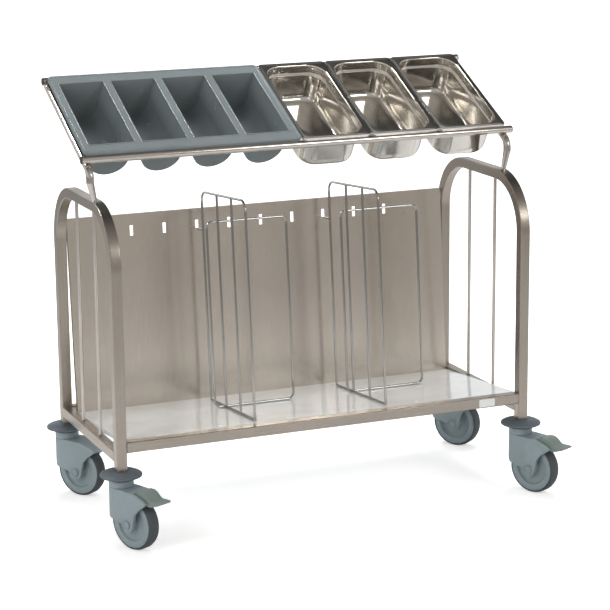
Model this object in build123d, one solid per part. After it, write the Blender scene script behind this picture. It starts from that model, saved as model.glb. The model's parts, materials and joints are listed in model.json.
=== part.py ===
from build123d import *
from math import cos, radians, sin, tan
import os

# A canteen trolley: a welded frame of square tube on four swivel casters, with a leaning tray
# shelf between its end arches and a sloping round-tube rack on top for a cutlery tray and three
# food pans. Millimetres. X runs along the trolley, -Y is the serving side, +Z is up, and the
# origin lies on the floor under the middle of the frame.

# ---- frame
FRAME_LENGTH = 1050.0      # over the end arches
FRAME_DEPTH = 455.0        # over the posts
FRAME_TOP = 778.0          # top of the end arches
TUBE = 25.0                # square tube
TUBE_WALL = 1.5
TUBE_CORNER = 2.5
ARCH_BEND = 127.5          # bend radius at the tube's centre line
SIDE_RAIL_LIFT = 18.0      # side and rear rails above the post feet
FRONT_RAIL_STEP = 24.0     # front rail above the side rails
ROD_DIAMETER = 8.0
ROD_COUNT = 2              # evenly spaced in each end

# ---- tray shelf and back panel
LEAN = 4.9                 # degrees that the panel leans back and the shelf rises to the front
SHEET = 1.2
SHELF_FLANGE = 12.0
PANEL_TOP_DROP = 95.0      # panel's top edge below the frame's top
PANEL_TOP_INSET = 4.0      # panel's top edge behind the front faces of the rear posts
PANEL_SIDE_GAP = 2.75      # from the panel to a post
PANEL_RETURN = 12.0        # depth of the panel's folded edges
HEM_HEIGHT = 14.0
WELD_TAB_HEIGHT = 24.0
SLOT_COUNT = 9
SLOT_PITCH = 84.15
SLOT_HEIGHT = 25.0
SLOT_DROP = 41.0           # slot centre below the panel's top

# ---- wire dividers
WIRE = 6.0
WIRE_CLEARANCE = 1.0       # around a wire in its slot or hole
DIVIDER_STANDOFF = 45.0    # rear upright to the panel
DIVIDER_RISE = 47.0        # divider's top above the panel's top
DIVIDER_BEND = 25.0
UPRIGHT_SHARES = (0.36, 0.69)
DIVIDER_SLOTS = (-2, 2)    # slots that hold the dividers, counted from the middle one
PIN_INSET = 29.0           # front pins behind the shelf's front edge
PIN_DEPTH = 10.0
HOOK_DROP = 12.0
SHELF_CLEARANCE = 0.3
STOP_WIDTH = 205.0
STOP_DROP = 68.0           # top of the stop loop below the divider's top
STOP_BEND = 14.0
STOP_REACH = (27.0, 14.0)  # how far each stop loop passes its divider to the left

# ---- top rack
RACK_SLOPE = 26.0
RACK_FRONT_Y = -87.0
RACK_RISE = 93.0           # front rail's axis above the frame's top
RAIL_OVERHANG = 20.0       # rail ends beyond the frame's ends
RAIL_DIAMETER = 18.0
RAIL_WALL = 1.2
PLUG_CAP = 2.0
PLUG_DEPTH = 10.0
SUPPORT_OUT = 3.0          # axis of each bent support tube beyond the frame's end
SUPPORT_Y = -98.0
SUPPORT_BEND = 32.0
FOOT_DIAMETER = 12.0       # support's squeezed foot, on top of the arch
FOOT_HEIGHT = 42.0
FOOT_INSET = 6.5           # foot's axis inside the frame's end
FOOT_SINK = 3.0            # foot's length below the arch's top, cut to the arch's bend

# ---- pans and cutlery tray
ROW_LENGTH = FRAME_LENGTH + 14.0
ROW_SHIFT = -4.5           # middle of the row from the rack's middle
ROW_GAP = 2.0              # between neighbours in the row
PAN_LENGTH = 325.0         # down the slope
PAN_WIDTH = 176.0
PAN_COUNT = 3
PAN_DEPTH = 100.0
PAN_CORNER = 42.0
PAN_SHEET = 1.0
PAN_SHOULDER = 4.0
PAN_SHOULDER_DEPTH = 30.0
PAN_DRAFT = 3.0
PAN_BOTTOM_ROUND = 20.0
RIM_SIDE = 9.5             # rim's width at the pan's long sides
RIM_DROP = 6.0             # height of the rim's turned-down edge
RIM_CORNER = 10.0
RIM_SEAT = 1.5             # rail axes outside the rim's edges
BODY_CLEARANCE = 3.5       # between a pan's body and a rail
TRAY_WALL = 3.0
TRAY_CORNER = 14.0
TRAY_MARGIN = 19.0         # tray's rim beside the row of pockets
POCKET_COUNT = 4
POCKET_WEB = 16.0          # between neighbouring pockets
POCKET_END_MARGIN = 24.5   # shorter at each end than a pan's body
POCKET_DEPTH = 94.0
POCKET_SIDE_DRAFT = 10.5   # side walls lean in this far down to the round bottom
POCKET_END_SLOPE = 18.0    # end walls lean in this far down to the bottom

# ---- casters
WHEEL_DIAMETER = 125.0
TYRE_WIDTH = 32.0
TYRE_DEPTH = 5.5
CORE_RING = 15.0           # flat ring of the wheel's face inside the tyre
CASTER_TRAIL = 44.0
FRONT_SWING = -64.0        # degrees from +X that the casters trail at rest
REAR_SWING = -55.0
BUMPER_DIAMETER = 97.0
BUMPER_HEIGHT = 18.0
BUMPER_GAP = 1.5           # between the bumper and the fork
HOOD_RISE = 31.5           # fork's top above the wheel
COLLAR_HEIGHT = 16.0
CHEEK = 8.0
SIDE_GAP = 4.5             # between the tyre and a cheek
WHEEL_GAP = 4.0            # between the tread and the hood
HUB_RADIUS = 17.0          # rounded end of each cheek about the axle
CORE_HUB_RADIUS = 15.0
AXLE_DIAMETER = 12.0
KING_PIN_DIAMETER = 16.0
KING_PIN_REACH = 16.0
RUNNING_FIT = 0.08         # radial clearance of turning pins
INSERT_LENGTH = 60.0
INSERT_FIT = 0.1
PEDAL_LIFT = 14.0          # pedal's pin outside the tread
PEDAL_ANGLE = 58.5         # pedal's pin about the axle, in degrees up from the trailing side
PEDAL_PIN = 6.0
PEDAL_SIDE_GAP = 1.5

# ---- worked out from the sizes above
HALF_LENGTH = FRAME_LENGTH / 2
HALF_DEPTH = FRAME_DEPTH / 2
INNER_X = HALF_LENGTH - TUBE
INNER_Y = HALF_DEPTH - TUBE
MIDDLE_X = HALF_LENGTH - TUBE / 2
MIDDLE_Y = HALF_DEPTH - TUBE / 2

WHEEL_RADIUS = WHEEL_DIAMETER / 2
CORE_RADIUS = WHEEL_RADIUS - TYRE_DEPTH
FORK_TOP = WHEEL_DIAMETER + HOOD_RISE
HOOD_WIDTH = TYRE_WIDTH + 2 * (SIDE_GAP + CHEEK)
POST_FOOT = FORK_TOP + BUMPER_GAP + BUMPER_HEIGHT

SIDE_RAIL_Z = POST_FOOT + SIDE_RAIL_LIFT
SIDE_RAIL_TOP = SIDE_RAIL_Z + TUBE
FRONT_RAIL_Z = SIDE_RAIL_Z + FRONT_RAIL_STEP
SHELF_FRONT_Z = FRONT_RAIL_Z + TUBE

SHELF_TILT = tan(radians(LEAN))
PANEL_TOP_Y = INNER_Y + PANEL_TOP_INSET
PANEL_RISE = FRAME_TOP - PANEL_TOP_DROP - SHELF_FRONT_Z
PANEL_HEIGHT = (PANEL_RISE + (PANEL_TOP_Y + INNER_Y) * SHELF_TILT) * cos(radians(LEAN))
PANEL_FOOT_Y = PANEL_TOP_Y - PANEL_HEIGHT * sin(radians(LEAN))
PANEL_FOOT_Z = SHELF_FRONT_Z - (PANEL_FOOT_Y + INNER_Y) * SHELF_TILT
PANEL_WIDTH = 2 * (INNER_X - PANEL_SIDE_GAP)
LEAN_FRAME = Location((0, PANEL_FOOT_Y, PANEL_FOOT_Z), (-LEAN, 0, 0))
SLOT_Z = PANEL_HEIGHT - SLOT_DROP
SLOT_WIDTH = WIRE + 2 * WIRE_CLEARANCE

DIVIDER_HEIGHT = PANEL_HEIGHT + DIVIDER_RISE
PIN_Y = PIN_INSET - (PANEL_FOOT_Y + INNER_Y) / cos(radians(LEAN))
DIVIDER_DEPTH = -PIN_Y - DIVIDER_STANDOFF
BAR_Z = WIRE / 2 + SHELF_CLEARANCE

RACK_FRONT_Z = FRAME_TOP + RACK_RISE
RACK_FRAME = Location((0, RACK_FRONT_Y, RACK_FRONT_Z), (RACK_SLOPE, 0, 0))
RAIL_LENGTH = FRAME_LENGTH + 2 * RAIL_OVERHANG
RAIL_SPACING = PAN_LENGTH + 2 * RIM_SEAT
RIM_Z = RAIL_DIAMETER / 2 + RIM_DROP
PAN_BODY_LENGTH = RAIL_SPACING - RAIL_DIAMETER - 2 * BODY_CLEARANCE
PAN_BODY_WIDTH = PAN_WIDTH - 2 * RIM_SIDE
TRAY_WIDTH = ROW_LENGTH - PAN_COUNT * (PAN_WIDTH + ROW_GAP)
POCKET_PITCH = (TRAY_WIDTH + POCKET_WEB - 2 * TRAY_MARGIN) / POCKET_COUNT
POCKET_WIDTH = POCKET_PITCH - POCKET_WEB
POCKET_ROUND = POCKET_WIDTH / 2 - POCKET_SIDE_DRAFT
POCKET_LENGTH = PAN_BODY_LENGTH - 2 * POCKET_END_MARGIN


def save(name, *shapes):
    """Write one node, as a single solid or as several loose ones."""
    shape = shapes[0] if len(shapes) == 1 else Compound(children=list(shapes))
    shape.label = name
    export_step(shape, f"parts/{name}.step")


def square_section(outer):
    """The tube's outline, or its bore."""
    if outer:
        return RectangleRounded(TUBE, TUBE, TUBE_CORNER)
    inner = TUBE - 2 * TUBE_WALL
    return RectangleRounded(inner, inner, TUBE_CORNER - TUBE_WALL)


def square_rail(start, end):
    """A straight square tube between two points on its centre line."""
    run = Edge.make_line(start, end)
    plane = Plane(origin=run @ 0, z_dir=run % 0, x_dir=(0, 0, 1))
    section = plane * (square_section(True) - square_section(False))
    return extrude(section, amount=run.length)


def round_tube(path, diameter, wall):
    """A round tube along a path in one plane."""
    plane = Plane(origin=path @ 0, z_dir=path % 0)
    section = plane * (Circle(diameter / 2) - Circle(diameter / 2 - wall))
    return sweep(section, path=path)


def wire_run(path):
    """Solid wire along a path in one plane."""
    plane = Plane(origin=path @ 0, z_dir=path % 0)
    return sweep(plane * Circle(WIRE / 2), path=path)


def along_x(shape_sketch, start, end):
    """A sketch drawn in Y and Z, drawn out from start to end along X."""
    plane = Plane(origin=(start, 0, 0), x_dir=(0, 1, 0), z_dir=(1, 0, 0))
    return extrude(plane * shape_sketch, amount=end - start)


def outline(points):
    """A face inside a closed outline of straight lines."""
    return make_face(Polyline(*points, close=True))


# ---- frame


def arch_path(side):
    x, y, top = side * MIDDLE_X, MIDDLE_Y, FRAME_TOP - TUBE / 2
    corners = [(x, -y, POST_FOOT), (x, -y, top), (x, y, top), (x, y, POST_FOOT)]
    return FilletPolyline(*corners, radius=ARCH_BEND)


def arch_solid(side, hollow=True):
    path = arch_path(side)
    plane = Plane(origin=path @ 0, z_dir=path % 0, x_dir=(1, 0, 0))
    solid = sweep(plane * square_section(True), path=path)
    if hollow:
        solid -= sweep(plane * square_section(False), path=path)
    return solid


def guard_rod(side, y):
    """Rod from the side rail up to the underside of the arch."""
    height = FRAME_TOP - TUBE - SIDE_RAIL_TOP
    rod = Cylinder(ROD_DIAMETER / 2, height, align=(Align.CENTER, Align.CENTER, Align.MIN))
    return Pos(side * MIDDLE_X, y, SIDE_RAIL_TOP) * rod - arch_solid(side, hollow=False)


def build_frame():
    pitch = 2 * INNER_Y / (ROD_COUNT + 1)
    for name, side in (("left", -1), ("right", 1)):
        save(f"end_arch_{name}", arch_solid(side))
        for index in range(ROD_COUNT):
            save(f"guard_rod_{name}_{index + 1}", guard_rod(side, (index + 1) * pitch - INNER_Y))
        x, z = side * MIDDLE_X, SIDE_RAIL_Z + TUBE / 2
        save(f"side_rail_{name}", square_rail((x, -INNER_Y, z), (x, INNER_Y, z)))
    z = FRONT_RAIL_Z + TUBE / 2
    save("front_rail", square_rail((-INNER_X, -MIDDLE_Y, z), (INNER_X, -MIDDLE_Y, z)))
    z = SIDE_RAIL_Z + TUBE / 2
    save("rear_rail", square_rail((-INNER_X, MIDDLE_Y, z), (INNER_X, MIDDLE_Y, z)))


# ---- tray shelf and back panel


def shelf_height(y):
    return SHELF_FRONT_Z - (y + INNER_Y) * SHELF_TILT


def slot_x(index):
    return index * SLOT_PITCH


def slot_indices():
    half = SLOT_COUNT // 2
    return range(-half, half + 1)


def shelf():
    """Sheet that rises to the front rail, with its four edges folded down."""
    front, rear = -INNER_Y, INNER_Y
    top_f, top_r = shelf_height(front), shelf_height(rear)
    low_f, low_r = top_f - SHELF_FLANGE, top_r - SHELF_FLANGE
    plate = outline([
        (front, top_f), (rear, top_r), (rear, low_r), (rear - SHEET, low_r),
        (rear - SHEET, shelf_height(rear - SHEET) - SHEET),
        (front + SHEET, shelf_height(front + SHEET) - SHEET),
        (front + SHEET, low_f), (front, low_f),
    ])
    flange = outline([(front, top_f), (rear, top_r), (rear, low_r), (front, low_f)])
    solid = along_x(plate, -INNER_X, INNER_X)
    solid += along_x(flange, -INNER_X, -INNER_X + SHEET)
    solid += along_x(flange, INNER_X - SHEET, INNER_X)
    for index in slot_indices():
        hole = Cylinder(SLOT_WIDTH / 2, 4 * SHELF_FLANGE)
        solid -= LEAN_FRAME * Pos(slot_x(index), PIN_Y, 0) * hole
    return solid


def back_panel():
    """Slotted sheet with folded edges and two tabs that are welded to the posts."""
    low = (Align.CENTER, Align.MIN, Align.MIN)
    solid = Box(PANEL_WIDTH, SHEET, PANEL_HEIGHT, align=low)
    for z in (0, PANEL_HEIGHT - SHEET):
        solid += Pos(0, 0, z) * Box(PANEL_WIDTH, PANEL_RETURN, SHEET, align=low)
    hem_z = PANEL_HEIGHT - HEM_HEIGHT
    solid += Pos(0, PANEL_RETURN - SHEET, hem_z) * Box(PANEL_WIDTH, SHEET, HEM_HEIGHT, align=low)
    for side in (-1, 1):
        x = side * (PANEL_WIDTH - SHEET) / 2
        solid += Pos(x, 0, 0) * Box(SHEET, PANEL_RETURN, PANEL_HEIGHT, align=low)
        tab = Box(PANEL_SIDE_GAP, PANEL_RETURN, WELD_TAB_HEIGHT, align=low)
        x = side * (PANEL_WIDTH + PANEL_SIDE_GAP) / 2
        solid += Pos(x, 0, PANEL_HEIGHT - WELD_TAB_HEIGHT) * tab
    for index in slot_indices():
        slot = Box(SLOT_WIDTH, 4 * SHEET, SLOT_HEIGHT)
        solid -= Pos(slot_x(index), 0, SLOT_Z) * slot
    return LEAN_FRAME * solid


# ---- wire dividers


def divider_uprights():
    return [-(DIVIDER_STANDOFF + share * DIVIDER_DEPTH) for share in UPRIGHT_SHARES]


def divider_bar(x):
    run = Edge.make_line((x, -DIVIDER_STANDOFF, BAR_Z), (x, PIN_Y, BAR_Z))
    return wire_run(run)


def divider(x):
    """Wire frame that stands across the shelf, pinned in front and hooked behind."""
    rear, top = -DIVIDER_STANDOFF, DIVIDER_HEIGHT - WIRE / 2
    hoop = FilletPolyline(
        (x, PIN_Y, -PIN_DEPTH), (x, PIN_Y, top), (x, rear, top), (x, rear, BAR_Z),
        radius=DIVIDER_BEND,
    )
    solid = wire_run(hoop) + divider_bar(x)
    for y in divider_uprights():
        solid += wire_run(Edge.make_line((x, y, BAR_Z), (x, y, top)))
    hook_z = SLOT_Z - SLOT_HEIGHT / 2 + WIRE / 2 + SHELF_CLEARANCE
    hook_y = SHEET + WIRE
    hook = FilletPolyline(
        (x, rear, hook_z), (x, hook_y, hook_z), (x, hook_y, hook_z - HOOK_DROP),
        radius=WIRE,
    )
    return LEAN_FRAME * (solid + wire_run(hook))


def tray_stop(x, reach):
    """Upright wire loop behind a divider's second upright, cut where it meets the bar."""
    y = divider_uprights()[0] + WIRE
    left, right = x - reach, x - reach + STOP_WIDTH
    low, high = BAR_Z, DIVIDER_HEIGHT - STOP_DROP
    corners = [(left, y, low), (left, y, high), (right, y, high), (right, y, low)]
    loop = FilletPolyline(*corners, radius=STOP_BEND, close=True)
    return LEAN_FRAME * (wire_run(loop) - divider_bar(x))


def build_tray_bay():
    save("tray_shelf", shelf())
    save("back_panel", back_panel())
    for name, index, reach in zip(("left", "right"), DIVIDER_SLOTS, STOP_REACH):
        save(f"divider_{name}", divider(slot_x(index)))
        save(f"tray_stop_{name}", tray_stop(slot_x(index), reach))


# ---- top rack


def rack_rail(y):
    half = RAIL_LENGTH / 2 - PLUG_CAP
    run = Edge.make_line((-half, y, 0), (half, y, 0))
    return RACK_FRAME * round_tube(run, RAIL_DIAMETER, RAIL_WALL)


def rail_plug(side, y):
    """Plastic plug in an open rail end."""
    cap = Cylinder(RAIL_DIAMETER / 2, PLUG_CAP)
    cap = fillet(cap.edges().sort_by(Axis.Z)[-1], PLUG_CAP / 2)
    spigot = Cylinder(RAIL_DIAMETER / 2 - RAIL_WALL, PLUG_DEPTH)
    plug = cap + Pos(0, 0, -(PLUG_CAP + PLUG_DEPTH) / 2) * spigot
    return RACK_FRAME * Pos(side * (RAIL_LENGTH - PLUG_CAP) / 2, y, 0) * Rot(0, side * 90, 0) * plug


def squeezed_foot(side, wall):
    """Outside or bore of the support's foot, from full size down to its seat on the arch."""
    taper = FOOT_DIAMETER / RAIL_DIAMETER
    top = Pos(side * (HALF_LENGTH + SUPPORT_OUT), SUPPORT_Y, FRAME_TOP + FOOT_HEIGHT)
    seat = Pos(side * (HALF_LENGTH - FOOT_INSET), SUPPORT_Y, FRAME_TOP - FOOT_SINK)
    radius = RAIL_DIAMETER / 2 - wall
    return loft([seat * Circle(radius * taper), top * Circle(radius)])


def rack_support(side):
    """Bent tube under both rails, with its foot cut to sit on the arch."""
    x = side * (HALF_LENGTH + SUPPORT_OUT)
    slope = radians(RACK_SLOPE)
    axis_y = RACK_FRONT_Y + RAIL_DIAMETER * sin(slope)
    axis_z = RACK_FRONT_Z - RAIL_DIAMETER * cos(slope)
    corner_z = axis_z + (SUPPORT_Y - axis_y) * tan(slope)
    reach = RAIL_SPACING + RAIL_DIAMETER / 2
    end_y = axis_y + reach * cos(slope)
    end_z = axis_z + reach * sin(slope)
    bend = min(SUPPORT_BEND, corner_z - FRAME_TOP - FOOT_HEIGHT)
    path = FilletPolyline(
        (x, SUPPORT_Y, FRAME_TOP + FOOT_HEIGHT), (x, SUPPORT_Y, corner_z), (x, end_y, end_z),
        radius=bend,
    )
    foot = squeezed_foot(side, 0) - squeezed_foot(side, RAIL_WALL)
    return round_tube(path, RAIL_DIAMETER, RAIL_WALL) + foot - arch_solid(side, hollow=False)


def build_rack():
    save("rack_rail_front", rack_rail(0))
    save("rack_rail_rear", rack_rail(RAIL_SPACING))
    save("rack_support_left", rack_support(-1))
    save("rack_support_right", rack_support(1))
    for name, y in (("front", 0), ("rear", RAIL_SPACING)):
        save(f"rail_plugs_{name}", rail_plug(-1, y), rail_plug(1, y))


# ---- pans and cutlery tray, drawn about the middle of their rim with the rim's top at z = 0


def rim(width, length, corner, thickness):
    """Flat rim with a turned-down edge, still closed over its middle."""
    plate = extrude(RectangleRounded(width, length, corner), amount=-thickness)
    inner = RectangleRounded(width - 2 * thickness, length - 2 * thickness, corner - thickness)
    edge = extrude(RectangleRounded(width, length, corner), amount=-RIM_DROP)
    return plate + (edge - extrude(inner, amount=-RIM_DROP))


def pan_body(skin):
    """The pan's tub, or the same inside its sheet when skin is the sheet's thickness."""
    width, length = PAN_BODY_WIDTH - 2 * skin, PAN_BODY_LENGTH - 2 * skin
    collar = extrude(RectangleRounded(width, length, PAN_CORNER - skin), amount=-PAN_SHOULDER_DEPTH)
    step = 2 * PAN_SHOULDER
    tub_sketch = RectangleRounded(width - step, length - step, PAN_CORNER - skin - PAN_SHOULDER)
    tub = extrude(tub_sketch, amount=-(PAN_DEPTH - PAN_SHOULDER_DEPTH - skin), taper=PAN_DRAFT)
    tub = fillet(tub.faces().sort_by(Axis.Z)[0].edges(), PAN_BOTTOM_ROUND - skin)
    tub = Pos(0, 0, skin - PAN_SHOULDER_DEPTH) * tub
    collar = Pos(0, 0, skin) * collar if skin else collar
    return collar + tub


def food_pan():
    solid = rim(PAN_WIDTH, PAN_LENGTH, RIM_CORNER, PAN_SHEET) + pan_body(0)
    return solid - pan_body(PAN_SHEET)


def pocket(skin):
    """Round-bottomed cutlery pocket, or the same with skin added all over outside it."""
    half, radius = POCKET_WIDTH / 2 + skin, POCKET_ROUND + skin
    spring = POCKET_DEPTH - POCKET_ROUND
    side = Polyline((-radius, -spring), (-half, 0), (half, 0), (radius, -spring))
    round_bottom = ThreePointArc((radius, -spring), (0, -spring - radius), (-radius, -spring))
    trough = extrude(Plane.XZ * make_face(side + round_bottom), amount=POCKET_LENGTH, both=True)
    reach = POCKET_LENGTH / 2 + skin
    low = POCKET_DEPTH + skin
    ends = outline([
        (-reach, 0), (reach, 0), (reach - POCKET_END_SLOPE, -low), (POCKET_END_SLOPE - reach, -low),
    ])
    return trough & along_x(ends, -2 * POCKET_WIDTH, 2 * POCKET_WIDTH)


def cutlery_tray():
    solid = rim(TRAY_WIDTH, PAN_LENGTH, TRAY_CORNER, TRAY_WALL)
    places = [(i - (POCKET_COUNT - 1) / 2) * POCKET_PITCH for i in range(POCKET_COUNT)]
    for x in places:
        solid += Pos(x, 0, 0) * pocket(TRAY_WALL)
    for x in places:
        solid -= Pos(x, 0, 0) * pocket(0)
    return solid


def on_rack(x):
    return RACK_FRAME * Pos(x, RAIL_SPACING / 2, RIM_Z)


def build_containers():
    x = ROW_SHIFT - ROW_LENGTH / 2
    save("cutlery_tray", on_rack(x + TRAY_WIDTH / 2) * cutlery_tray())
    x += TRAY_WIDTH + ROW_GAP
    pan = food_pan()
    for index in range(PAN_COUNT):
        save(f"food_pan_{index + 1}", on_rack(x + PAN_WIDTH / 2) * pan)
        x += PAN_WIDTH + ROW_GAP


# ---- casters, drawn at the floor under their swivel axis, trailing towards +X


def about_axle(outside, angle):
    """A point in X and Z, measured outside the tread and up from the trailing side."""
    radius = WHEEL_RADIUS + outside
    return (
        CASTER_TRAIL + radius * cos(radians(angle)),
        WHEEL_RADIUS + radius * sin(radians(angle)),
    )


def crosswise(x, z):
    """Place at a point of the side view, with its axis along Y."""
    return Pos(x, 0, z) * Rot(90, 0, 0)


def caster_insert():
    """Square plug in the post's foot with the king pin that the fork turns on."""
    side = TUBE - 2 * TUBE_WALL - 2 * INSERT_FIT
    corner = TUBE_CORNER - TUBE_WALL + INSERT_FIT
    plug = extrude(Pos(0, 0, POST_FOOT) * RectangleRounded(side, side, corner), INSERT_LENGTH)
    foot = FORK_TOP - KING_PIN_REACH
    pin = extrude(Pos(0, 0, foot) * Circle(KING_PIN_DIAMETER / 2), POST_FOOT - foot)
    return plug + pin


def bumper():
    """Soft round buffer between the post's foot and the fork."""
    bore, collar, radius = KING_PIN_DIAMETER / 2, HOOD_WIDTH / 2, BUMPER_DIAMETER / 2
    foot, top = POST_FOOT - BUMPER_HEIGHT, POST_FOOT
    lip, dome = 6.5, 7.0
    rim_low, rim_high, seat = (radius, foot + lip), (radius, top - dome), (TUBE, top)
    sides = Polyline(seat, (bore, top), (bore, foot), (collar, foot), rim_low, rim_high)
    profile = make_face(sides + TangentArc(seat, rim_high, tangent=(1, 0)))
    return revolve(Plane.XZ * profile, Axis.Z)


def fork_side():
    """Side view of the hood, the tower below the collar and the cheeks."""
    back = -HOOD_WIDTH / 2
    shoulder = FORK_TOP - COLLAR_HEIGHT
    hub_x, hub_z = CASTER_TRAIL, WHEEL_RADIUS
    leg_x, leg_z = back, hub_z + 1.5 * HUB_RADIUS
    hub_back = (hub_x - HUB_RADIUS, hub_z)
    hub_low = (hub_x, hub_z - HUB_RADIUS)
    hub_front = (hub_x + HUB_RADIUS, hub_z)
    edge = Polyline(
        hub_front, about_axle(-26, 49), about_axle(-8, 49), about_axle(11, 45),
        about_axle(23, 45), about_axle(20, 55), about_axle(16, 77), (-back, shoulder),
        (-back, FORK_TOP), (back, FORK_TOP), (leg_x, leg_z), (leg_x / 2, leg_z - HUB_RADIUS),
        hub_back,
    )
    return make_face(edge + ThreePointArc(hub_back, hub_low, hub_front))


def fork(braked):
    """Plastic hood over the wheel with two cheeks that carry the axle."""
    half = HOOD_WIDTH / 2
    nose = about_axle(23, 45)[0]
    solid = extrude(Plane.XZ * fork_side(), amount=half, both=True)
    plan = Circle(half) + Pos(nose / 2, 0) * RectangleRounded(nose + CHEEK, HOOD_WIDTH, CHEEK)
    solid &= extrude(plan, amount=FORK_TOP)
    beyond = Circle(2 * half)
    collar = extrude(Pos(0, 0, FORK_TOP - COLLAR_HEIGHT) * (beyond - Circle(half)), COLLAR_HEIGHT)
    groove_depth, groove_width = 1.2, 1.6
    groove = Pos(0, 0, FORK_TOP - COLLAR_HEIGHT) * (beyond - Circle(half - groove_depth))
    solid -= collar + extrude(groove, groove_width)
    room = HOOD_WIDTH - 2 * CHEEK
    wheel_room = crosswise(CASTER_TRAIL, WHEEL_RADIUS) * Cylinder(WHEEL_RADIUS + WHEEL_GAP, room)
    back_x, under_z = about_axle(WHEEL_GAP, 130)
    below = Box(WHEEL_DIAMETER, room, WHEEL_DIAMETER, align=(Align.MIN, Align.CENTER, Align.MAX))
    solid -= wheel_room + Pos(back_x, 0, WHEEL_RADIUS) * below + Pos(CASTER_TRAIL, 0, under_z) * below
    pin_bore = Cylinder(KING_PIN_DIAMETER / 2 + RUNNING_FIT, 2 * KING_PIN_REACH + 2 * BUMPER_GAP)
    solid -= Pos(0, 0, FORK_TOP) * pin_bore
    solid -= crosswise(CASTER_TRAIL, WHEEL_RADIUS) * Cylinder(AXLE_DIAMETER / 2, 2 * HOOD_WIDTH)
    if braked:
        x, z = about_axle(PEDAL_LIFT, PEDAL_ANGLE)
        pedal_room = Box(HOOD_WIDTH, room, HOOD_WIDTH, align=(Align.MIN, Align.CENTER, Align.CENTER))
        solid -= Pos(x - PEDAL_PIN * 4, 0, z) * pedal_room
        solid += crosswise(x, z) * Cylinder(PEDAL_PIN / 2, HOOD_WIDTH - CHEEK)
    return solid


def ring(half_profile):
    """Turn an outline of radius and side, mirrored about the wheel's middle plane."""
    mirrored = [(radius, -side) for radius, side in reversed(half_profile)]
    return Rot(90, 0, 0) * revolve(Plane.XZ * outline(half_profile + mirrored), Axis.Z)


def wheel_core():
    """Plastic wheel centre with a dished face and a hub."""
    bore = AXLE_DIAMETER / 2 + RUNNING_FIT
    hub_side = HOOD_WIDTH / 2 - CHEEK - RUNNING_FIT
    lip_side, dish, step = TYRE_WIDTH / 2 - 1, 6.0, 3.0
    ring_radius = CORE_RADIUS - CORE_RING
    return ring([
        (bore, hub_side), (CORE_HUB_RADIUS, hub_side), (CORE_HUB_RADIUS + 2, lip_side - dish),
        (ring_radius - step, lip_side - dish), (ring_radius, lip_side), (CORE_RADIUS, lip_side),
    ])


def tyre():
    """Rubber ring with rounded shoulders."""
    side, shoulder = TYRE_WIDTH / 2, 5.0
    return ring([
        (CORE_RADIUS, side), (WHEEL_RADIUS - shoulder, side),
        (WHEEL_RADIUS - shoulder / 3, side - shoulder / 2), (WHEEL_RADIUS, side - 1.5 * shoulder),
    ])


def axle():
    """Axle bolt with a shallow round head outside each cheek."""
    head_height, head_margin = 2.4, 3.0
    head = Cylinder(AXLE_DIAMETER / 2 + head_margin, head_height)
    head = fillet(head.edges().sort_by(Axis.Z)[-1], head_height / 2)
    head = Pos(0, 0, (HOOD_WIDTH + head_height) / 2) * head
    shaft = Cylinder(AXLE_DIAMETER / 2, HOOD_WIDTH)
    return Rot(90, 0, 0) * (shaft + head + Rot(180, 0, 0) * head)


def brake_pedal():
    """Foot lever over the wheel with a shoe under it, turning on the fork's pin."""
    x, z = about_axle(PEDAL_LIFT, PEDAL_ANGLE)
    side_view = [
        (-22, 5), (-18, 13), (-8, 18), (4, 18), (14, 14), (24, 5), (30, 2), (54, 2), (56, -1),
        (52, -4), (28, -12), (20, -12), (10, -11), (4, -13), (-2, -13.3), (-6, -8), (-12, -2),
    ]
    width = HOOD_WIDTH - 2 * (CHEEK + PEDAL_SIDE_GAP)
    lever = extrude(Plane.XZ * outline(side_view), amount=width / 2, both=True)
    bore = Rot(90, 0, 0) * Cylinder(PEDAL_PIN / 2 + RUNNING_FIT, HOOD_WIDTH)
    return Pos(x, 0, z) * (lever - bore)


def build_casters():
    for end, y, swing in (("front", -MIDDLE_Y, FRONT_SWING), ("rear", MIDDLE_Y, REAR_SWING)):
        for side, x in (("left", -MIDDLE_X), ("right", MIDDLE_X)):
            name, braked = f"{end}_{side}", end == "front"
            place = Pos(x, y, 0)
            turned = place * Rot(0, 0, swing)
            wheel = turned * Pos(CASTER_TRAIL, 0, WHEEL_RADIUS)
            save(f"caster_insert_{name}", place * caster_insert())
            save(f"bumper_{name}", place * bumper())
            save(f"fork_{name}", turned * fork(braked))
            save(f"wheel_core_{name}", wheel * wheel_core())
            save(f"tyre_{name}", wheel * tyre())
            save(f"axle_{name}", wheel * axle())
            if braked:
                save(f"brake_pedal_{name}", turned * brake_pedal())


build_frame()
build_tray_bay()
build_rack()
build_containers()
build_casters()
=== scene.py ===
import json
from math import atan2, cos, pi, radians, sin

import bmesh
import bpy
from mathutils import Matrix, Vector

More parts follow.
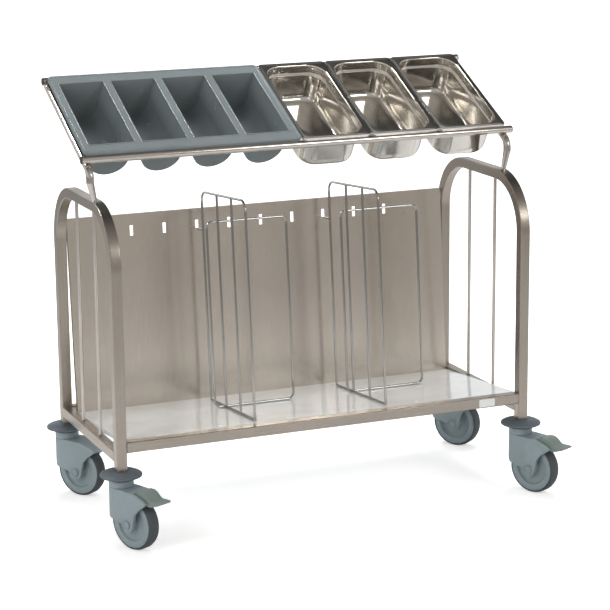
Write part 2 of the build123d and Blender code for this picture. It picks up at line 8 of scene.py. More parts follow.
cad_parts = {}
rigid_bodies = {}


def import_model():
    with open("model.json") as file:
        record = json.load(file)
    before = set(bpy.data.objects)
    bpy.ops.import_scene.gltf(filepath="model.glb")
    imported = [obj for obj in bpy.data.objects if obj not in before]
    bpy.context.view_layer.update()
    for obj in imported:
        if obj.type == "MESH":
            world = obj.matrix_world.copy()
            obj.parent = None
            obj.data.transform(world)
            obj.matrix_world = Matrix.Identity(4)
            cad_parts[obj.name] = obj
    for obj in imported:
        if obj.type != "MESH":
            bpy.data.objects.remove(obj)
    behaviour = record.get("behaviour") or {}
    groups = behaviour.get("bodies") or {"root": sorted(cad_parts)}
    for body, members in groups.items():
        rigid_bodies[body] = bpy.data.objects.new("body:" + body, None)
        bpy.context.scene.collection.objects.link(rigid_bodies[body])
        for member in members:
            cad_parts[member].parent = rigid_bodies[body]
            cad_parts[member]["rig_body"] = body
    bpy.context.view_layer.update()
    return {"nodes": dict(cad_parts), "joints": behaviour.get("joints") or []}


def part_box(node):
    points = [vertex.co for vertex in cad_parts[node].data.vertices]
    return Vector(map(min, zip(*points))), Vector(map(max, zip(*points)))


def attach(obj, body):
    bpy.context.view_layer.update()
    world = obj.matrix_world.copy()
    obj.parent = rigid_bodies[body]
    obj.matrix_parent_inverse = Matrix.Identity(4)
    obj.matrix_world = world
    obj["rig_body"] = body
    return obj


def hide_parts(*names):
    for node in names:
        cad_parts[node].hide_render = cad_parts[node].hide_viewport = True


# A canteen trolley: satin and polished stainless steel on grey casters. Metres, +Z up,
# the serving side faces -Y, and the origin is on the floor under the middle of the frame.

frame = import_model()
NODES = frame["nodes"]
JOINTS = {joint["name"]: joint for joint in frame["joints"]}
MM = 0.001

CORNERS = ("front_left", "front_right", "rear_left", "rear_right")
PANS = tuple(sorted(name for name in NODES if name.startswith("food_pan")))


# ---- shader groups: each puts out masks and heights that the materials mix in


def new_group(name, inputs):
    """An empty shader group with float or vector inputs, and its two end nodes."""
    tree = bpy.data.node_groups.new(name, "ShaderNodeTree")
    for label, kind, value in inputs:
        socket = tree.interface.new_socket(label, in_out="INPUT", socket_type=kind)
        if value is not None:
            socket.default_value = value
    start = tree.nodes.new("NodeGroupInput")
    end = tree.nodes.new("NodeGroupOutput")
    return tree, start, end


def group_output(tree, end, label, socket):
    """Put a value out of a group under a name."""
    tree.interface.new_socket(label, in_out="OUTPUT", socket_type="NodeSocketFloat")
    tree.links.new(socket, end.inputs[label])


def add(tree, kind, **settings):
    """A node with its properties set, and its inputs set where a name matches one."""
    node = tree.nodes.new(kind)
    for key, value in settings.items():
        if key in node.inputs:
            node.inputs[key].default_value = value
        else:
            setattr(node, key, value)
    return node


def remap(tree, socket, low, high, to_low, to_high):
    """Stretch a value from one range to another, held at both ends."""
    node = add(tree, "ShaderNodeMapRange")
    for name, value in zip(("From Min", "From Max", "To Min", "To Max"), (low, high, to_low, to_high)):
        node.inputs[name].default_value = value
    tree.links.new(socket, node.inputs["Value"])
    return node.outputs["Result"]


def combine(tree, operation, first, second):
    """One sum of two values, each of them a socket or a number."""
    node = add(tree, "ShaderNodeMath", operation=operation)
    for slot_index, value in enumerate((first, second)):
        if isinstance(value, (int, float)):
            node.inputs[slot_index].default_value = value
        else:
            tree.links.new(value, node.inputs[slot_index])
    return node.outputs[0]


def brushed_grain():
    """Fine lines left by a belt: noise drawn out along one direction, in two widths."""
    tree, start, end = new_group("brushed_grain", [
        ("Vector", "NodeSocketVector", None), ("Stretch", "NodeSocketVector", (1, 1, 1)),
    ])
    stretch = add(tree, "ShaderNodeVectorMath", operation="MULTIPLY")
    tree.links.new(start.outputs["Vector"], stretch.inputs[0])
    tree.links.new(start.outputs["Stretch"], stretch.inputs[1])
    fine = add(tree, "ShaderNodeTexNoise", Scale=1.0, Detail=3.0, Roughness=0.6)
    broad = add(tree, "ShaderNodeTexNoise", Scale=0.13, Detail=2.0, Roughness=0.5)
    for noise in (fine, broad):
        tree.links.new(stretch.outputs[0], noise.inputs["Vector"])
    group_output(tree, end, "Lines", fine.outputs["Fac"])
    group_output(tree, end, "Bands", broad.outputs["Fac"])
    return tree


def handling_marks():
    """Soft cloudy smears with a few finer spots, as hands and cloths leave them."""
    tree, start, end = new_group("handling_marks", [
        ("Vector", "NodeSocketVector", None), ("Size", "NodeSocketFloat", 6.0),
    ])
    cloud = add(tree, "ShaderNodeTexNoise", Detail=4.0, Roughness=0.55, Distortion=0.6)
    tree.links.new(start.outputs["Vector"], cloud.inputs["Vector"])
    tree.links.new(start.outputs["Size"], cloud.inputs["Scale"])
    spots = add(tree, "ShaderNodeTexNoise", Detail=2.0, Roughness=0.5)
    tree.links.new(start.outputs["Vector"], spots.inputs["Vector"])
    tree.links.new(combine(tree, "MULTIPLY", start.outputs["Size"], 9.0), spots.inputs["Scale"])
    smears = remap(tree, cloud.outputs["Fac"], 0.35, 0.7, 0.0, 1.0)
    dots = remap(tree, spots.outputs["Fac"], 0.6, 0.75, 0.0, 1.0)
    group_output(tree, end, "Smears", smears)
    group_output(tree, end, "Dots", dots)
    return tree


def edge_wear():
    """Outer edges that rubbing has lightened, broken up by noise."""
    tree, start, end = new_group("edge_wear", [
        ("Vector", "NodeSocketVector", None), ("Reach", "NodeSocketFloat", 0.56),
    ])
    geometry = add(tree, "ShaderNodeNewGeometry")
    edges = add(tree, "ShaderNodeMapRange")
    edges.inputs["From Min"].default_value = 0.51
    tree.links.new(start.outputs["Reach"], edges.inputs["From Max"])
    tree.links.new(geometry.outputs["Pointiness"], edges.inputs["Value"])
    patches = add(tree, "ShaderNodeTexNoise", Scale=60.0, Detail=4.0)
    tree.links.new(start.outputs["Vector"], patches.inputs["Vector"])
    broken = remap(tree, patches.outputs["Fac"], 0.3, 0.6, 0.3, 1.0)
    group_output(tree, end, "Wear", combine(tree, "MULTIPLY", edges.outputs["Result"], broken))
    return tree


def moulded_skin():
    """The fine spark-eroded grain of moulded plastic and the slow sink marks under it."""
    tree, start, end = new_group("moulded_skin", [("Vector", "NodeSocketVector", None)])
    grain = add(tree, "ShaderNodeTexNoise", Scale=900.0, Detail=2.0)
    sinks = add(tree, "ShaderNodeTexNoise", Scale=14.0, Detail=2.0)
    for noise in (grain, sinks):
        tree.links.new(start.outputs["Vector"], noise.inputs["Vector"])
    group_output(tree, end, "Grain", grain.outputs["Fac"])
    group_output(tree, end, "Sinks", sinks.outputs["Fac"])
    return tree


GRAIN = brushed_grain()
MARKS = handling_marks()
WEAR = edge_wear()
SKIN = moulded_skin()


# ---- materials


class Finish:
    """A material with a Principled shader and the object's own coordinates to hand."""

    def __init__(self, name, roughness, metallic=0.0, **fixed):
        self.material = bpy.data.materials.new(name)
        self.material.use_nodes = True
        self.tree = self.material.node_tree
        self.shader = self.tree.nodes["Principled BSDF"]
        self.shader.inputs["Roughness"].default_value = roughness
        self.shader.inputs["Metallic"].default_value = metallic
        for key, value in fixed.items():
            self.shader.inputs[key.replace("_", " ")].default_value = value
        self.place = add(self.tree, "ShaderNodeTexCoord").outputs["Object"]

    def effect(self, group, **inputs):
        node = add(self.tree, "ShaderNodeGroup", node_tree=group)
        for key, value in inputs.items():
            node.inputs[key].default_value = value
        self.tree.links.new(self.place, node.inputs["Vector"])
        return node.outputs

    def tint(self, mask, first, second):
        """Base colour that goes from first to second with a mask."""
        mix = add(self.tree, "ShaderNodeMix", data_type="RGBA")
        mix.inputs[6].default_value = (*first, 1)
        mix.inputs[7].default_value = (*second, 1)
        self.tree.links.new(mask, mix.inputs[0])
        return mix.outputs[2]

    def over(self, mask, below, above):
        """Lay a plain colour over a changing one with a mask."""
        mix = add(self.tree, "ShaderNodeMix", data_type="RGBA")
        mix.inputs[7].default_value = (*above, 1)
        self.tree.links.new(below, mix.inputs[6])
        self.tree.links.new(mask, mix.inputs[0])
        return mix.outputs[2]

    def set(self, name, socket):
        self.tree.links.new(socket, self.shader.inputs[name])

    def bump(self, height, distance, strength=1.0, below=None):
        node = add(self.tree, "ShaderNodeBump", Strength=strength, Distance=distance)
        self.tree.links.new(height, node.inputs["Height"])
        if below:
            self.tree.links.new(below, node.inputs["Normal"])
        self.set("Normal", node.outputs["Normal"])
        return node.outputs["Normal"]


def shade(colour, factor):
    return tuple(min(1.0, part * factor) for part in colour)


def brushed_steel(name, colour, stretch, rough=(0.2, 0.34), lines=0.00002):
    """Stainless steel with belt lines along its length, a slow change of tone and smears."""
    finish = Finish(name, 0.28, metallic=1.0)
    grain = finish.effect(GRAIN, Stretch=stretch)
    marks = finish.effect(MARKS, Size=5.0)
    tone = finish.tint(grain["Bands"], shade(colour, 0.9), shade(colour, 1.1))
    finish.set("Base Color", finish.over(
        combine(finish.tree, "MULTIPLY", marks["Smears"], 0.25), tone, shade(colour, 0.8)))
    base = remap(finish.tree, grain["Lines"], 0.3, 0.7, *rough)
    extra = remap(finish.tree, marks["Smears"], 0.0, 1.0, 0.0, 0.06)
    finish.set("Roughness", combine(finish.tree, "ADD", base, extra))
    finish.bump(grain["Lines"], lines)
    return finish.material


def polished_steel(name, colour, rough=(0.05, 0.14), ripple=0.0002, metallic=1.0):
    """Bright steel whose slow ripples bend what it mirrors."""
    finish = Finish(name, 0.1, metallic=metallic)
    marks = finish.effect(MARKS, Size=9.0)
    skin = finish.effect(SKIN)
    finish.set("Base Color", finish.tint(marks["Smears"], colour, shade(colour, 0.86)))
    finish.set("Roughness", remap(finish.tree, marks["Smears"], 0.0, 1.0, *rough))
    finish.bump(skin["Sinks"], ripple)
    return finish.material


def moulded_plastic(name, colour, rough=(0.38, 0.55), grain=0.00004, wear=1.25):
    """Grained plastic with sink marks, scuffed edges and slightly uneven colour."""
    finish = Finish(name, 0.45)
    skin = finish.effect(SKIN)
    marks = finish.effect(MARKS, Size=16.0)
    worn = finish.effect(WEAR)
    tone = finish.tint(skin["Sinks"], shade(colour, 0.92), shade(colour, 1.08))
    dusty = finish.over(combine(finish.tree, "MULTIPLY", marks["Smears"], 0.1), tone, shade(colour, 1.18))
    finish.set("Base Color", finish.over(
        combine(finish.tree, "MULTIPLY", worn["Wear"], 0.5), dusty, shade(colour, wear)))
    finish.set("Roughness", remap(finish.tree, marks["Smears"], 0.0, 1.0, *rough))
    sinks = finish.bump(skin["Sinks"], 0.0003, 0.3)
    finish.bump(skin["Grain"], grain, 0.5, sinks)
    return finish.material


def rolled_rubber(name, colour):
    """Matt rubber, scuffed lighter where it rolls, with grit in the skin."""
    finish = Finish(name, 0.75)
    marks = finish.effect(MARKS, Size=30.0)
    skin = finish.effect(SKIN)
    tone = finish.tint(marks["Smears"], colour, shade(colour, 1.3))
    finish.set("Base Color", finish.over(
        combine(finish.tree, "MULTIPLY", marks["Dots"], 0.5), tone, shade(colour, 1.7)))
    finish.set("Roughness", remap(finish.tree, marks["Smears"], 0.0, 1.0, 0.6, 0.85))
    finish.bump(skin["Grain"], 0.0001, 0.6)
    return finish.material


def weld_steel():
    """Weld metal: rippled, with a straw and blue heat tint."""
    finish = Finish("weld_metal", 0.4, metallic=1.0)
    marks = finish.effect(MARKS, Size=70.0)
    finish.set("Base Color", finish.tint(marks["Smears"], (0.30, 0.25, 0.19), (0.42, 0.42, 0.44)))
    finish.set("Roughness", remap(finish.tree, marks["Dots"], 0.0, 1.0, 0.3, 0.5))
    finish.bump(marks["Smears"], 0.0004)
    return finish.material


STEEL = (0.40, 0.36, 0.315)
ALONG_X = (30, 2600, 2600)
ALONG_Y = (2600, 30, 2600)
ALONG_Z = (2600, 2600, 30)

TUBE_UP = brushed_steel("tube_steel_upright", STEEL, ALONG_Z)
TUBE_ALONG = brushed_steel("tube_steel_lengthwise", STEEL, ALONG_X)
TUBE_ACROSS = brushed_steel("tube_steel_crosswise", STEEL, ALONG_Y)
PANEL_STEEL = brushed_steel("panel_sheet_steel", (0.68, 0.62, 0.55), (2600, 2600, 12), rough=(0.15, 0.24))
# The shelf's near-white colour on a barely metallic finish is a painted sheen: it stands in for the
# overhead light that the polished shelf mirrors.
SHELF_PAINTED_SHEEN = polished_steel("shelf_steel_painted_sheen", (0.95, 0.985, 1.0), rough=(0.1, 0.16), metallic=0.12)
WIRE_STEEL = polished_steel("wire_steel", (0.52, 0.51, 0.49))
RACK_STEEL = polished_steel("rack_tube_steel", (0.62, 0.58, 0.54), rough=(0.12, 0.22))
PAN_STEEL = polished_steel("pan_steel", (0.76, 0.735, 0.69), rough=(0.11, 0.19), ripple=0.000005)
PLATED_STEEL = polished_steel("plated_steel", (0.62, 0.62, 0.62), rough=(0.15, 0.25))
TRAY_PLASTIC = moulded_plastic("tray_grey_plastic", (0.16, 0.187, 0.195), rough=(0.18, 0.28), wear=1.6)
CASTER_PLASTIC = moulded_plastic("caster_grey_nylon", (0.25, 0.31, 0.33))
PEDAL_PLASTIC = moulded_plastic("pedal_grey_nylon", (0.19, 0.235, 0.215))
BUMPER_PLASTIC = moulded_plastic("bumper_slate_plastic", (0.105, 0.13, 0.15), rough=(0.45, 0.6))
PLUG_PLASTIC = moulded_plastic("plug_black_plastic", (0.03, 0.03, 0.03))
TYRE_RUBBER = rolled_rubber("tyre_grey_rubber", (0.055, 0.066, 0.073))
WELD_METAL = weld_steel()
LABEL_VINYL = moulded_plastic(
    "label_white_vinyl", (0.82, 0.83, 0.84), rough=(0.25, 0.35), grain=0.00001, wear=1.05)


def coat(piece, material):
    """Give a piece or a CAD node one material all over."""
    if not piece.material_slots:
        piece.data.materials.append(material)
    for place in piece.material_slots:
        place.material = material


def node_finish(name):
    """The finish of a CAD node that is shown as it is."""
    starts = {
        "end_arch": TUBE_UP, "side_rail": TUBE_ACROSS, "front_rail": TUBE_ALONG, "rear_rail": TUBE_ALONG,
        "guard_rod": RACK_STEEL, "tray_shelf": SHELF_PAINTED_SHEEN, "back_panel": PANEL_STEEL,
        "divider": WIRE_STEEL, "tray_stop": WIRE_STEEL, "rack_rail": RACK_STEEL,
        "rack_support": RACK_STEEL, "rail_plugs": PLUG_PLASTIC, "food_pan": PAN_STEEL,
        "cutlery_tray": TRAY_PLASTIC, "bumper": BUMPER_PLASTIC, "fork": CASTER_PLASTIC,
        "wheel_core": CASTER_PLASTIC, "tyre": TYRE_RUBBER, "axle": PLATED_STEEL,
        "brake_pedal": PEDAL_PLASTIC, "caster_insert": PLATED_STEEL,
    }
    return next(starts[start] for start in starts if name.startswith(start))


for node_name, node in NODES.items():
    coat(node, node_finish(node_name))


# ---- light, floor and camera


def soft_lamp(name, place, aim, size, power, mirrored):
    """A rectangular lamp; bright metal mirrors it only where mirrored is true."""
    data = bpy.data.lights.new(name, "AREA")
    data.shape = "RECTANGLE"
    data.size, data.size_y = size
    data.energy = power
    lamp = bpy.data.objects.new(name, data)
    bpy.context.scene.collection.objects.link(lamp)
    lamp.location = place
    lamp.rotation_euler = (Vector(aim) - Vector(place)).to_track_quat("-Z", "Y").to_euler()
    lamp.visible_glossy = mirrored
    return lamp


def studio_world():
    """White all round at eye height and darker overhead, so that bent steel shows bands."""
    world = bpy.data.worlds.new("studio")
    bpy.context.scene.world = world
    world.use_nodes = True
    tree = world.node_tree
    background = tree.nodes["Background"]
    direction = add(tree, "ShaderNodeSeparateXYZ")
    tree.links.new(add(tree, "ShaderNodeTexCoord").outputs["Generated"], direction.inputs[0])
    ramp = add(tree, "ShaderNodeValToRGB")
    stops = ramp.color_ramp.elements
    stops[0].position, stops[0].color = 0.0, (0.75, 0.74, 0.73, 1)
    stops[1].position, stops[1].color = 1.0, (0.05, 0.05, 0.05, 1)
    for position, level in ((0.5, 0.95), (0.64, 0.9), (0.72, 0.5), (0.8, 0.12)):
        stops.new(position).color = (level, level, level, 1)
    tree.links.new(remap(tree, direction.outputs["Z"], -1, 1, 0, 1), ramp.inputs["Fac"])
    front = remap(tree, direction.outputs["Y"], -0.9, 0.2, 1.0, 0.0)
    dim = add(tree, "ShaderNodeMix", data_type="RGBA")
    dim.inputs[7].default_value = (0.50, 0.47, 0.44, 1)
    tree.links.new(front, dim.inputs[0])
    tree.links.new(ramp.outputs["Color"], dim.inputs[6])
    seen = add(tree, "ShaderNodeMix", data_type="RGBA")
    seen.inputs[7].default_value = (1, 1, 1, 1)
    tree.links.new(add(tree, "ShaderNodeLightPath").outputs["Is Camera Ray"], seen.inputs[0])
    tree.links.new(dim.outputs[2], seen.inputs[6])
    tree.links.new(seen.outputs[2], background.inputs["Color"])
    background.inputs["Strength"].default_value = 1.0


def pale_floor():
    """White floor that keeps a soft shadow and fades into the white behind it."""
    bpy.ops.mesh.primitive_plane_add(size=60)
    floor = bpy.context.active_object
    floor.name = "studio_floor"
    material = bpy.data.materials.new("floor_white")
    material.use_nodes = True
    tree = material.node_tree
    shader = tree.nodes["Principled BSDF"]
    shader.inputs["Base Color"].default_value = (0.9, 0.9, 0.9, 1)
    shader.inputs["Roughness"].default_value = 0.9
    shader.inputs["Specular IOR Level"].default_value = 0.0
    shader.inputs["Emission Color"].default_value = (1, 1, 1, 1)
    paths = add(tree, "ShaderNodeLightPath")
    distance = add(tree, "ShaderNodeVectorMath", operation="LENGTH")
    tree.links.new(add(tree, "ShaderNodeTexCoord").outputs["Object"], distance.inputs[0])
    glow = remap(tree, distance.outputs["Value"], 0.8, 1.8, 0.5, 1.2)
    tree.links.new(combine(tree, "MULTIPLY", paths.outputs["Is Camera Ray"], glow),
                   shader.inputs["Emission Strength"])
    coat(floor, material)


def front_left_camera():
    """A long lens from the front left, a little above the rack."""
    place, heading, dip, tilt, lens = (-1.915, -4.688, 1.640), -22.565, -13.053, -0.537, 126.87
    data = bpy.data.cameras.new("camera")
    data.lens, data.sensor_width = lens, 36.0
    data.clip_start, data.clip_end = 0.1, 100.0
    camera = bpy.data.objects.new("camera", data)
    bpy.context.scene.collection.objects.link(camera)
    camera.matrix_world = (
        Matrix.Translation(place) @ Matrix.Rotation(radians(heading), 4, "Z")
        @ Matrix.Rotation(radians(90 + dip), 4, "X") @ Matrix.Rotation(radians(tilt), 4, "Z")
    )
    bpy.context.scene.camera = camera


# ---- modelling helpers: every piece is shaped with edit-mode tools, then set in its place


def clear_selection():
    """Leave edit mode, with nothing selected."""
    if bpy.context.object and bpy.context.object.mode == "EDIT":
        bpy.ops.object.mode_set(mode="OBJECT")
    bpy.ops.object.select_all(action="DESELECT")


def pick(test):
    """In edit mode, select only the vertices that pass a test, and what lies between them."""
    bpy.ops.mesh.select_mode(type="VERT")
    bpy.ops.mesh.select_all(action="DESELECT")
    mesh = bmesh.from_edit_mesh(bpy.context.object.data)
    for vertex in mesh.verts:
        vertex.select_set(test(vertex.co))
    mesh.select_flush(True)
    bmesh.update_edit_mesh(bpy.context.object.data)


def at_height(level):
    """A test for vertices that lie at one level."""
    return lambda place: abs(place.z - level) < 0.02 * MM


def resize(x, y):
    """Scale what is selected about the middle, in the plane."""
    bpy.ops.transform.resize(value=(x, y, 1), center_override=(0, 0, 0))


def rounded_loop(width, length, corner, level, steps=8):
    """Add the outline of a rounded rectangle to the mesh being edited."""
    bpy.ops.mesh.primitive_plane_add(size=1, location=(0, 0, level))
    resize(width, length)
    bpy.ops.mesh.bevel(offset=corner, segments=steps, affect="VERTICES")
    bpy.ops.mesh.delete(type="ONLY_FACE")


def start_mesh(name):
    """An empty mesh, open for editing."""
    clear_selection()
    piece = bpy.data.objects.new(name, bpy.data.meshes.new(name))
    bpy.context.scene.collection.objects.link(piece)
    bpy.context.view_layer.objects.active = piece
    piece.select_set(True)
    bpy.ops.object.mode_set(mode="EDIT")
    return piece


def bridge_levels(levels):
    """Join each outline to the next one down."""
    for above, below in zip(levels, levels[1:]):
        pick(lambda place: at_height(above)(place) or at_height(below)(place))
        bpy.ops.mesh.bridge_edge_loops()


def draw_down(width, length, start, steps):
    """Deepen the lowest outline step by step; each step is (inset from the start, level)."""
    inset, level = 0.0, start
    for next_inset, next_level in steps:
        pick(at_height(level))
        bpy.ops.mesh.extrude_region_move(TRANSFORM_OT_translate={"value": (0, 0, next_level - level)})
        resize(
            (width - 2 * next_inset) / (width - 2 * inset),
            (length - 2 * next_inset) / (length - 2 * inset),
        )
        inset, level = next_inset, next_level


def use(piece, modifier, **settings):
    """Add a modifier with its settings and apply it."""
    added = piece.modifiers.new(modifier.lower(), modifier)
    for key, value in settings.items():
        setattr(added, key, value)
    clear_selection()
    bpy.context.view_layer.objects.active = piece
    piece.select_set(True)
    bpy.ops.object.modifier_apply(modifier=added.name)


def smooth(piece, angle):
    """Shade a piece smooth, apart from edges sharper than an angle in degrees."""
    clear_selection()
    bpy.context.view_layer.objects.active = piece
    piece.select_set(True)
    bpy.ops.object.shade_smooth_by_angle(angle=radians(angle))


def settle(piece, place, material, body, nodes=()):
    """Set a piece in its place, give it its finish and let it ride on its body."""
    clear_selection()
    piece.matrix_world = place
    bpy.context.view_layer.objects.active = piece
    piece.select_set(True)
    bpy.ops.object.transform_apply()
    coat(piece, material)
    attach(piece, body)
    if nodes:
        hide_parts(*nodes)


def twin(piece, name):
    """A copy with its own mesh."""
    copy = piece.copy()
    copy.data = piece.data.copy()
    copy.name = name
    bpy.context.scene.collection.objects.link(copy)
    return copy


def merged_copy(node):
    """A CAD node's shape as one connected mesh with its flat faces whole."""
    piece = twin(NODES[node], node + "_shaped")
    for key in list(piece.keys()):
        del piece[key]
    piece.parent = None
    clear_selection()
    bpy.context.view_layer.objects.active = piece
    piece.select_set(True)
    bpy.ops.object.mode_set(mode="EDIT")
    bpy.ops.mesh.customdata_custom_splitnormals_clear()
    bpy.ops.mesh.select_all(action="SELECT")
    bpy.ops.mesh.remove_doubles(threshold=0.01 * MM)
    bpy.ops.mesh.dissolve_limited(angle_limit=radians(0.03))
    bpy.ops.object.mode_set(mode="OBJECT")
    return piece


def softened(node, material, radius, segments=2, sharp=32):
    """Stand-in for a CAD node with its sharp edges rounded over."""
    piece = merged_copy(node)
    use(piece, "BEVEL", width=radius, segments=segments, limit_method="ANGLE",
        angle_limit=radians(sharp), use_clamp_overlap=True, miter_outer="MITER_ARC")
    smooth(piece, 30)
    settle(piece, Matrix.Identity(4), material, NODES[node]["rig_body"], (node,))
    return piece


# ---- food pans: pressed from one sheet, with a stepped rim and a shoulder


PAN_LENGTH = 325 * MM
RACK_UP = Vector(JOINTS["food_pan_1_lift_out"]["axis"])
RACK_SLOPE = atan2(-RACK_UP.y, RACK_UP.z)


def on_rack(node):
    """Place of a pan or tray: the middle of its rim's top, tilted with the rack."""
    low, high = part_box(node)
    rise, run = sin(RACK_SLOPE), cos(RACK_SLOPE)
    middle = ((low.x + high.x) / 2, low.y + PAN_LENGTH / 2 * run, high.z - PAN_LENGTH / 2 * rise)
    return Matrix.Translation(middle) @ Matrix.Rotation(RACK_SLOPE, 4, "X")


def pressed_pan(width):
    """A third-size pan about the middle of its rim, open side up."""
    opening, reach = width - 19 * MM, PAN_LENGTH - 22 * MM
    piece = start_mesh("pressed_pan")
    levels = (-0.6 * MM, -1.1 * MM, -1.9 * MM, -2.4 * MM)
    rounded_loop(width - 1 * MM, PAN_LENGTH - 1 * MM, 9.5 * MM, levels[0])
    rounded_loop(width - 9 * MM, PAN_LENGTH - 9 * MM, 8 * MM, levels[1])
    rounded_loop(width - 12 * MM, PAN_LENGTH - 12 * MM, 7 * MM, levels[2])
    rounded_loop(opening, reach, 42 * MM, levels[3])
    bridge_levels(levels)
    pick(at_height(levels[0]))
    bpy.ops.mesh.extrude_region_move(TRANSFORM_OT_translate={"value": (0, 0, -0.9 * MM)})
    resize(width / (width - 1 * MM), PAN_LENGTH / (PAN_LENGTH - 1 * MM))
    bpy.ops.mesh.extrude_region_move(TRANSFORM_OT_translate={"value": (0, 0, -4.2 * MM)})
    draw_down(opening, reach, levels[3], [
        (inset * MM, -depth * MM) for inset, depth in (
            (0.7, 3.2), (1.2, 5), (1.6, 22), (2.2, 24.5), (4.6, 27), (5.3, 29.5), (8, 78), (9, 85),
            (11.5, 91.5), (16, 96.5), (22, 98.7), (30, 99.1),
        )
    ])
    pick(at_height(-99.1 * MM))
    bpy.ops.mesh.edge_face_add()
    bpy.ops.mesh.inset(thickness=6 * MM)
    bpy.ops.mesh.select_all(action="SELECT")
    bpy.ops.mesh.normals_make_consistent(inside=False)
    bpy.ops.object.mode_set(mode="OBJECT")
    floor_face = min(piece.data.polygons, key=lambda face: face.center.z)
    if floor_face.normal.z < 0:
        bpy.ops.object.mode_set(mode="EDIT")
        bpy.ops.mesh.select_all(action="SELECT")
        bpy.ops.mesh.flip_normals()
        bpy.ops.object.mode_set(mode="OBJECT")
    use(piece, "SOLIDIFY", thickness=0.8 * MM, offset=-1)
    smooth(piece, 38)
    return piece


def build_pans():
    """Three pans from one pattern."""
    low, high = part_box(PANS[0])
    pattern = pressed_pan(high.x - low.x)
    for node in PANS:
        pan = twin(pattern, node + "_pressed")
        settle(pan, on_rack(node), PAN_STEEL, node + "_lift", (node,))
    bpy.data.objects.remove(pattern)


# ---- cutlery tray: the moulded shape with a raised bead round the rim and each pocket


TRAY_MARGIN = 19 * MM
POCKET_WEB = 16 * MM
POCKET_LENGTH = 258 * MM
POCKETS = 4


def raised_bead(width, length, corner, rise):
    """A closed ring of plastic, rounded on top, lying on the tray's rim."""
    piece = start_mesh("raised_bead")
    outline = (
        (0, -0.5), (0.6, 0.55 * rise), (1.5, rise), (2.5, 0.97 * rise), (3.5, 0.5 * rise), (4.1, -0.55),
    )
    levels = [level * MM for _, level in outline]
    for inset, level in outline:
        reach = 2 * inset * MM
        rounded_loop(width - reach, length - reach, corner - inset * MM, level * MM, steps=5)
    bridge_levels(levels + levels[:1])
    bpy.ops.mesh.select_all(action="SELECT")
    bpy.ops.mesh.normals_make_consistent(inside=False)
    bpy.ops.object.mode_set(mode="OBJECT")
    smooth(piece, 60)
    return piece


def build_tray():
    """The tray with its edges rounded, and beads round the pockets and the rim."""
    softened("cutlery_tray", TRAY_PLASTIC, 1.4 * MM, segments=3)
    low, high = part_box("cutlery_tray")
    width, place = high.x - low.x, on_rack("cutlery_tray")
    pitch = (width + POCKET_WEB - 2 * TRAY_MARGIN) / POCKETS
    pocket = raised_bead(pitch - POCKET_WEB + 4 * MM, POCKET_LENGTH + 4 * MM, 4.6 * MM, 1.4)
    for index in range(POCKETS):
        shift = Matrix.Translation(((index - (POCKETS - 1) / 2) * pitch, 0, 0))
        bead = twin(pocket, f"pocket_bead_{index + 1}")
        settle(bead, place @ shift, TRAY_PLASTIC, "cutlery_tray_lift")
    bpy.data.objects.remove(pocket)
    rim = raised_bead(width - 6 * MM, PAN_LENGTH - 6 * MM, 11 * MM, 1.2)
    rim.name = "tray_rim_bead"
    settle(rim, place, TRAY_PLASTIC, "cutlery_tray_lift")


# ---- welds: short rough beads where the rails meet the posts, and rings at the guard rods' ends


def weld_bead(name, start, end, radius, seed, body="frame"):
    """A lumpy seam of weld metal between two points."""
    run = Vector(end) - Vector(start)
    clear_selection()
    bpy.ops.mesh.primitive_cylinder_add(vertices=8, radius=radius, depth=run.length)
    piece = bpy.context.object
    piece.name = name
    bpy.ops.object.mode_set(mode="EDIT")
    bpy.ops.mesh.select_all(action="SELECT")
    steps = max(2, int(run.length / (1.6 * radius)))
    for step in range(1, steps):
        bpy.ops.mesh.select_all(action="SELECT")
        bpy.ops.mesh.bisect(plane_co=(0, 0, (step / steps - 0.5) * run.length), plane_no=(0, 0, 1))
    bpy.ops.mesh.select_all(action="SELECT")
    bpy.ops.transform.vertex_random(offset=radius * 0.35, uniform=0.5, normal=0.6, seed=seed)
    pick(lambda place: abs(place.z) > run.length / 2 - radius * 0.4)
    bpy.ops.transform.resize(value=(0.45, 0.45, 1), center_override=(0, 0, 0))
    bpy.ops.object.mode_set(mode="OBJECT")
    use(piece, "SUBSURF", levels=1, render_levels=1)
    smooth(piece, 80)
    turn = run.to_track_quat("Z", "Y").to_matrix().to_4x4()
    settle(piece, Matrix.Translation((Vector(start) + Vector(end)) / 2) @ turn, WELD_METAL, body)


def build_frame_welds():
    """Beads where the front and rear rails meet the posts."""
    for rail in ("front_rail", "rear_rail"):
        low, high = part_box(rail)
        for side, x in (("left", low.x), ("right", high.x)):
            y0, y1 = low.y + 3 * MM, high.y - 3 * MM
            inward = 0.6 * MM if side == "left" else -0.6 * MM
            for edge, z in (("under", low.z), ("over", high.z)):
                weld_bead(f"weld_{rail}_{side}_{edge}", (x + inward, y0, z), (x + inward, y1, z), 1.5 * MM,
                          len(rail) + len(side) + len(edge))
            weld_bead(f"weld_{rail}_{side}_face", (x + inward, low.y, low.z + 2 * MM),
                      (x + inward, low.y, high.z - 2 * MM), 1.2 * MM, 7 + len(side))


def collar_weld(name, centre, normal, radius, thickness, body="frame"):
    """A thin rough ring of weld round a rod or tube."""
    clear_selection()
    bpy.ops.mesh.primitive_torus_add(
        major_radius=radius, minor_radius=thickness, major_segments=20, minor_segments=6)
    piece = bpy.context.object
    piece.name = name
    bpy.ops.object.mode_set(mode="EDIT")
    bpy.ops.mesh.select_all(action="SELECT")
    bpy.ops.transform.vertex_random(offset=thickness * 0.4, uniform=0.6, normal=0.5, seed=len(name))
    bpy.ops.object.mode_set(mode="OBJECT")
    smooth(piece, 80)
    turn = Vector(normal).to_track_quat("Z", "Y").to_matrix().to_4x4()
    settle(piece, Matrix.Translation(centre) @ turn, WELD_METAL, body)


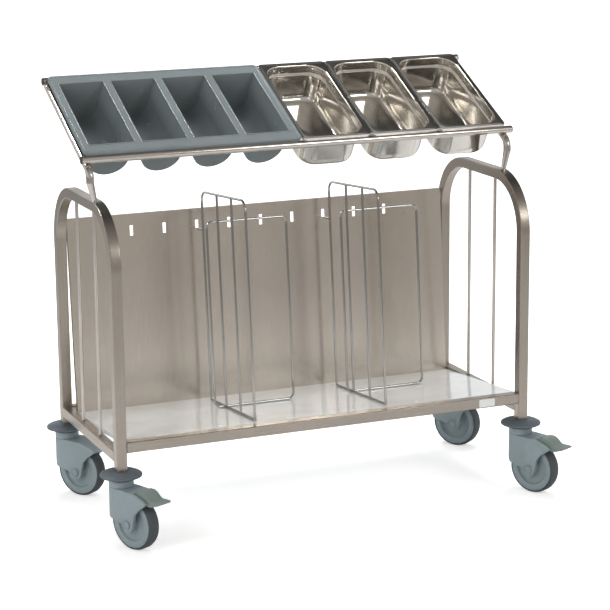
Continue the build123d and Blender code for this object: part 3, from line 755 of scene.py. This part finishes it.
def build_rod_welds():
    """A ring of weld at both ends of each guard rod."""
    for node in NODES:
        if node.startswith("guard_rod"):
            low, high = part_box(node)
            x, y = (low.x + high.x) / 2, (low.y + high.y) / 2
            radius = (high.x - low.x) / 2
            collar_weld(f"weld_{node}_foot", (x, y, low.z + 0.4 * MM), (0, 0, 1), radius, 1.0 * MM)
            collar_weld(f"weld_{node}_top", (x, y, high.z - 0.6 * MM), (0, 0, 1), radius, 0.9 * MM)


# ---- casters: moulded edges rounded over, with a cap on each axle end


def build_casters():
    """Round over the moulded pieces of each caster and cap its axle."""
    for corner in CORNERS:
        softened(f"fork_{corner}", CASTER_PLASTIC, 1.2 * MM)
        softened(f"wheel_core_{corner}", CASTER_PLASTIC, 0.9 * MM)
        softened(f"tyre_{corner}", TYRE_RUBBER, 1.0 * MM, sharp=20)
        softened(f"bumper_{corner}", BUMPER_PLASTIC, 1.6 * MM, segments=3)
        axle_caps(corner)
        if f"brake_pedal_{corner}" in NODES:
            softened(f"brake_pedal_{corner}", PEDAL_PLASTIC, 2.2 * MM, segments=3)


def axle_caps(corner):
    """Moulded caps pressed over both ends of the axle."""
    low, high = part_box(f"axle_{corner}")
    centre = (low + high) / 2
    axis = Vector(JOINTS[f"wheel_roll_{corner}"]["axis"])
    radius = (high.z - low.z) / 2
    axle = NODES[f"axle_{corner}"]
    reach = max((point.co - centre).dot(axis) for point in axle.data.vertices)
    clear_selection()
    bpy.ops.mesh.primitive_cylinder_add(vertices=40, radius=radius + 0.5 * MM, depth=3 * MM)
    piece = bpy.context.object
    piece.name = f"axle_cap_{corner}"
    bpy.ops.object.mode_set(mode="EDIT")
    bpy.ops.mesh.select_mode(type="FACE")
    bpy.ops.mesh.select_all(action="DESELECT")
    mesh = bmesh.from_edit_mesh(piece.data)
    for face in mesh.faces:
        face.select_set(face.normal.z > 0.9)
    bmesh.update_edit_mesh(piece.data)
    bpy.ops.mesh.bevel(offset=0.8 * MM, segments=2)
    bpy.ops.mesh.inset(thickness=1.6 * MM)
    bpy.ops.mesh.inset(thickness=0.4 * MM, depth=-0.4 * MM)
    bpy.ops.object.mode_set(mode="OBJECT")
    smooth(piece, 40)
    other = twin(piece, f"axle_cap_inner_{corner}")
    for cap, sign in ((piece, 1), (other, -1)):
        turn = (axis * sign).to_track_quat("Z", "Y").to_matrix().to_4x4()
        place = Matrix.Translation(centre + axis * sign * (reach - 0.9 * MM)) @ turn
        settle(cap, place, CASTER_PLASTIC, f"swivel_{corner}")


# ---- label: a blank plate stuck on the front rail


LABEL_X = 413 * MM
LABEL_SIZE = (42 * MM, 19 * MM)


def build_label():
    """A blank plate near the front rail's right end."""
    low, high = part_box("front_rail")
    piece = start_mesh("blank_label")
    bpy.ops.mesh.primitive_plane_add(size=1)
    resize(*LABEL_SIZE)
    bpy.ops.mesh.bevel(offset=2.5 * MM, segments=5, affect="VERTICES")
    bpy.ops.mesh.select_all(action="SELECT")
    bpy.ops.mesh.extrude_region_move(TRANSFORM_OT_translate={"value": (0, 0, 0.35 * MM)})
    bpy.ops.mesh.inset(thickness=0.25 * MM, depth=0.12 * MM)
    bpy.ops.mesh.select_all(action="SELECT")
    bpy.ops.mesh.normals_make_consistent(inside=False)
    bpy.ops.object.mode_set(mode="OBJECT")
    place = Matrix.Translation((LABEL_X, low.y, (low.z + high.z) / 2)) @ Matrix.Rotation(pi / 2, 4, "X")
    settle(piece, place, LABEL_VINYL, "frame")


build_pans()
build_tray()
build_casters()
build_frame_welds()
build_rod_welds()
build_label()

studio_world()
pale_floor()
front_left_camera()
soft_lamp("overhead_box", (0.4, 0.9, 3.2), (0, 0, 0.4), (2.6, 1.6), 95, mirrored=False)
soft_lamp("left_box", (-3.2, -1.6, 2.2), (0, 0, 0.5), (1.6, 2.2), 45, mirrored=False)
edge_light = soft_lamp("edge_light", (-2.3, 1.8, 3.5), (0, 0, 0.95), (0.7, 0.7), 60, mirrored=True)
edge_light.visible_diffuse = False
soft_lamp("right_box", (1.6, -3.2, 2.2), (0, 0, 0.5), (1.0, 1.0), 22, mirrored=True)
bpy.context.scene.view_settings.view_transform = "Standard"
